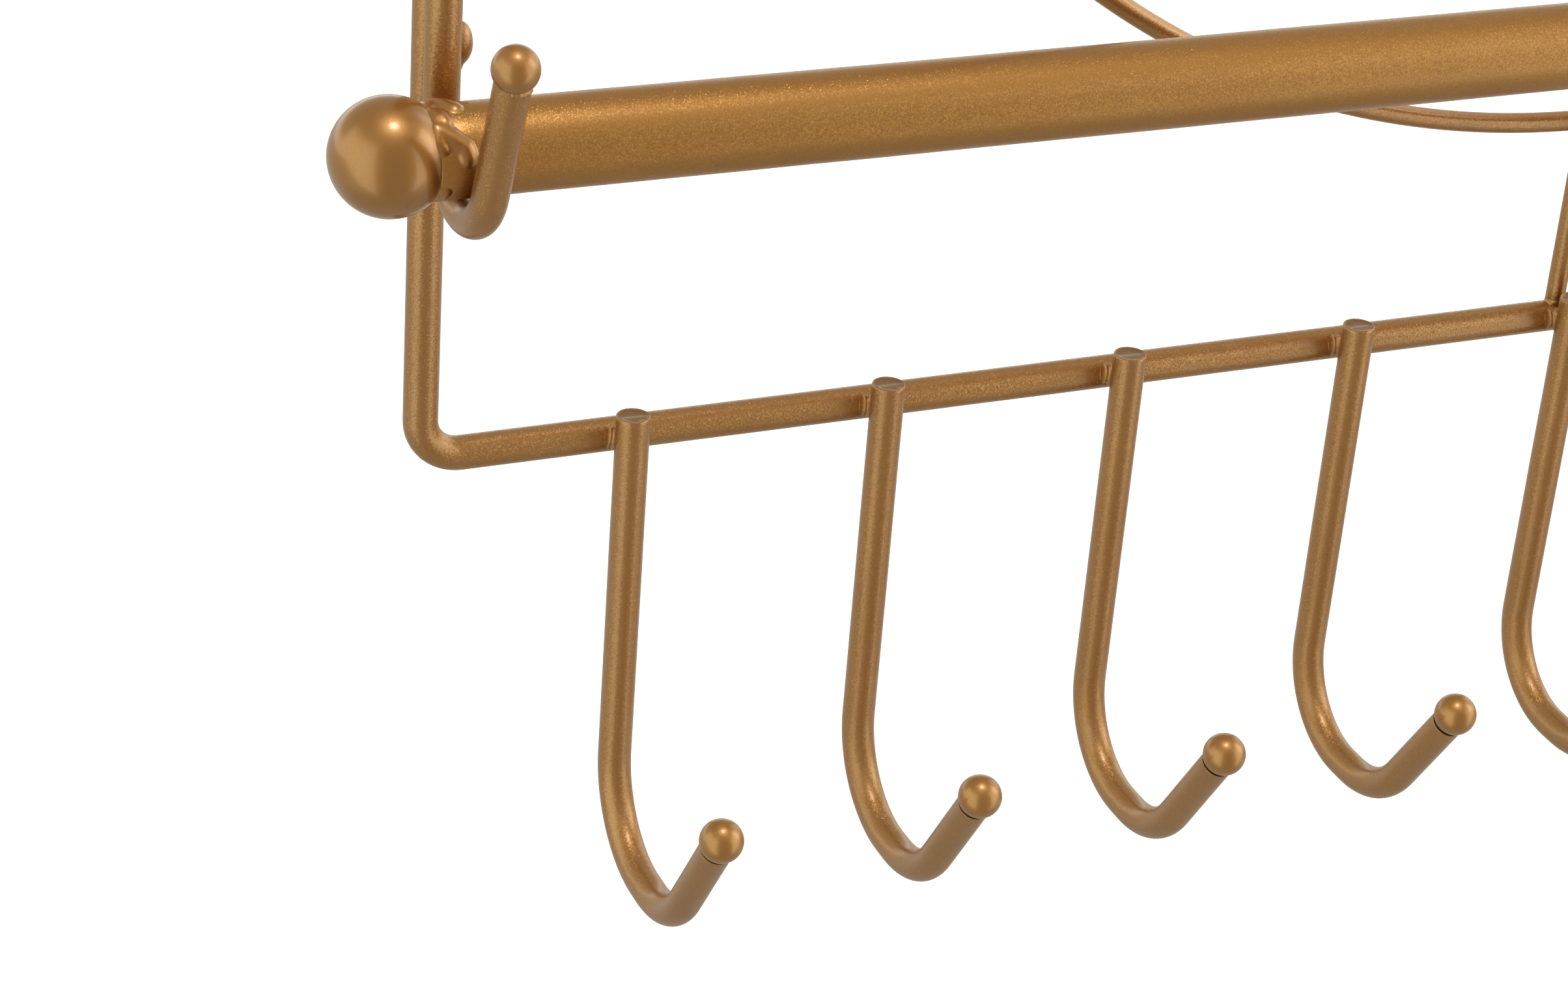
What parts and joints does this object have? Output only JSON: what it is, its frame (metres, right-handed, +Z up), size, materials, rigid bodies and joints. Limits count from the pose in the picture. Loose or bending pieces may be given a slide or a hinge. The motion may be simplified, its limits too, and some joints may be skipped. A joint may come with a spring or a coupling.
{
  "type": "wall jewelry holder",
  "caption": "Wall jewelry holder of painted steel wire: square frame with a spoked ring medallion, a row of ball-ended hooks and a lift-out bracelet bar in cradle hooks.",
  "frame": {"origin": "on the wall plane, midway between the screw holes of the two hanging tabs", "axes": "+X to the right along the wall as seen from the room, +Y into the wall, +Z up"},
  "size_m": [0.3338, 0.0418, 0.36],
  "materials": {
    "frame_paint": "satin metallic antique gold paint with fine flake",
    "filigree_paint": "satin metallic antique gold paint with fine flake",
    "tab_paint": "satin metallic antique gold paint",
    "hook_paint": "satin metallic antique gold paint with fine flake",
    "ball_paint": "satin metallic antique gold paint with fine flake",
    "bar_paint": "satin metallic antique gold paint with fine flake",
    "finial_paint": "satin metallic antique gold paint with fine flake"
  },
  "bodies": {
    "holder": {"frame_wire": "frame_paint", "outer_ring": "filigree_paint", "hub_ring": "filigree_paint", "spoke_1": "filigree_paint", "spoke_2": "filigree_paint", "spoke_3": "filigree_paint", "spoke_4": "filigree_paint", "spoke_5": "filigree_paint", "spoke_6": "filigree_paint", "spoke_7": "filigree_paint", "spoke_8": "filigree_paint", "ring_link_1": "filigree_paint", "ring_link_2": "filigree_paint", "ring_link_3": "filigree_paint", "ring_link_4": "filigree_paint", "wall_tab_left": "tab_paint", "wall_tab_right": "tab_paint", "hook_1": "hook_paint", "hook_2": "hook_paint", "hook_3": "hook_paint", "hook_4": "hook_paint", "hook_5": "hook_paint", "hook_6": "hook_paint", "hook_7": "hook_paint", "hook_8": "hook_paint", "hook_9": "hook_paint", "hook_1_ball": "ball_paint", "hook_2_ball": "ball_paint", "hook_3_ball": "ball_paint", "hook_4_ball": "ball_paint", "hook_5_ball": "ball_paint", "hook_6_ball": "ball_paint", "hook_7_ball": "ball_paint", "hook_8_ball": "ball_paint", "hook_9_ball": "ball_paint", "cradle_left": "hook_paint", "cradle_right": "hook_paint", "cradle_left_ball": "ball_paint", "cradle_right_ball": "ball_paint"},
    "bracelet_bar": {"bar_tube": "bar_paint", "bar_finial_left": "finial_paint", "bar_finial_right": "finial_paint"}
  },
  "joints": [
    {"name": "bar_lift", "type": "slide", "parent": "holder", "child": "bracelet_bar", "axis": [0, 0, 1], "range_m": [0, 0.024]}
  ]
}
